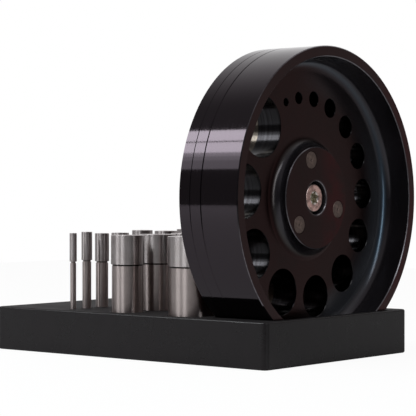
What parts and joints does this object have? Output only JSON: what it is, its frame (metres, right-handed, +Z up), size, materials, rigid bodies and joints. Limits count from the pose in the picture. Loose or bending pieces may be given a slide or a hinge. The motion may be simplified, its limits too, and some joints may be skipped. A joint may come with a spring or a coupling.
{
  "type": "disc cutter",
  "caption": "Bench disc cutter: two round plates with graded punch holes, closed by a central screw, standing on edge in a base block beside a set of stepped punches.",
  "frame": {"origin": "middle of the base block's underside", "axes": "+X along the base towards the open face of the discs, +Y across the base, +Z up; the discs' axis lies along +X"},
  "size_m": [0.1524, 0.127, 0.1314],
  "materials": {
    "base_plastic": "satin",
    "black_oxide": "black oxide, fine turned",
    "screw_steel": "bright nickel",
    "pin_steel": "ground",
    "punch_steel": "turned and polished"
  },
  "bodies": {
    "base": {"base_block": "base_plastic"},
    "die": {"die_plate": "black_oxide", "guide_pin_1": "pin_steel", "guide_pin_2": "pin_steel", "guide_pin_3": "pin_steel"},
    "guide": {"guide_plate": "black_oxide"},
    "screw": {"clamp_screw": "screw_steel"},
    "punch_1_8_inch": {"punch_1_8_inch": "punch_steel"},
    "punch_3_16_inch": {"punch_3_16_inch": "punch_steel"},
    "punch_1_4_inch": {"punch_1_4_inch": "punch_steel"},
    "punch_5_16_inch": {"punch_5_16_inch": "punch_steel"},
    "punch_3_8_inch": {"punch_3_8_inch": "punch_steel"},
    "punch_7_16_inch": {"punch_7_16_inch": "punch_steel"},
    "punch_1_2_inch": {"punch_1_2_inch": "punch_steel"},
    "punch_9_16_inch": {"punch_9_16_inch": "punch_steel"},
    "punch_5_8_inch": {"punch_5_8_inch": "punch_steel"},
    "punch_11_16_inch": {"punch_11_16_inch": "punch_steel"},
    "punch_3_4_inch": {"punch_3_4_inch": "punch_steel"},
    "punch_13_16_inch": {"punch_13_16_inch": "punch_steel"},
    "punch_7_8_inch": {"punch_7_8_inch": "punch_steel"},
    "punch_1_inch": {"punch_1_inch": "punch_steel"}
  },
  "joints": [
    {"name": "disc_lift", "type": "slide", "parent": "base", "child": "die", "axis": [0, 0, 1], "range_m": [0, 0.016]},
    {"name": "plate_opening", "type": "slide", "parent": "die", "child": "guide", "axis": [1, 0, 0], "range_m": [0, 0.00105]},
    {"name": "screw_turn", "type": "hinge", "parent": "guide", "child": "screw", "pos_m": [0.0634, 0, 0.0679], "axis": [1, 0, 0], "range_deg": [0, 302.41]},
    {"name": "punch_1_8_inch_lift", "type": "slide", "parent": "base", "child": "punch_1_8_inch", "axis": [0, 0, 1], "range_m": [0, 0.015]},
    {"name": "punch_3_16_inch_lift", "type": "slide", "parent": "base", "child": "punch_3_16_inch", "axis": [0, 0, 1], "range_m": [0, 0.015]},
    {"name": "punch_1_4_inch_lift", "type": "slide", "parent": "base", "child": "punch_1_4_inch", "axis": [0, 0, 1], "range_m": [0, 0.015]},
    {"name": "punch_5_16_inch_lift", "type": "slide", "parent": "base", "child": "punch_5_16_inch", "axis": [0, 0, 1], "range_m": [0, 0.015]},
    {"name": "punch_3_8_inch_lift", "type": "slide", "parent": "base", "child": "punch_3_8_inch", "axis": [0, 0, 1], "range_m": [0, 0.015]},
    {"name": "punch_7_16_inch_lift", "type": "slide", "parent": "base", "child": "punch_7_16_inch", "axis": [0, 0, 1], "range_m": [0, 0.015]},
    {"name": "punch_1_2_inch_lift", "type": "slide", "parent": "base", "child": "punch_1_2_inch", "axis": [0, 0, 1], "range_m": [0, 0.015]},
    {"name": "punch_9_16_inch_lift", "type": "slide", "parent": "base", "child": "punch_9_16_inch", "axis": [0, 0, 1], "range_m": [0, 0.015]},
    {"name": "punch_5_8_inch_lift", "type": "slide", "parent": "base", "child": "punch_5_8_inch", "axis": [0, 0, 1], "range_m": [0, 0.015]},
    {"name": "punch_11_16_inch_lift", "type": "slide", "parent": "base", "child": "punch_11_16_inch", "axis": [0, 0, 1], "range_m": [0, 0.015]},
    {"name": "punch_3_4_inch_lift", "type": "slide", "parent": "base", "child": "punch_3_4_inch", "axis": [0, 0, 1], "range_m": [0, 0.015]},
    {"name": "punch_13_16_inch_lift", "type": "slide", "parent": "base", "child": "punch_13_16_inch", "axis": [0, 0, 1], "range_m": [0, 0.015]},
    {"name": "punch_7_8_inch_lift", "type": "slide", "parent": "base", "child": "punch_7_8_inch", "axis": [0, 0, 1], "range_m": [0, 0.015]},
    {"name": "punch_1_inch_lift", "type": "slide", "parent": "base", "child": "punch_1_inch", "axis": [0, 0, 1], "range_m": [0, 0.015]}
  ],
  "couplings": [
    {"joint": "screw_turn", "follows": "plate_opening", "rad_per_m": 5026.5}
  ]
}
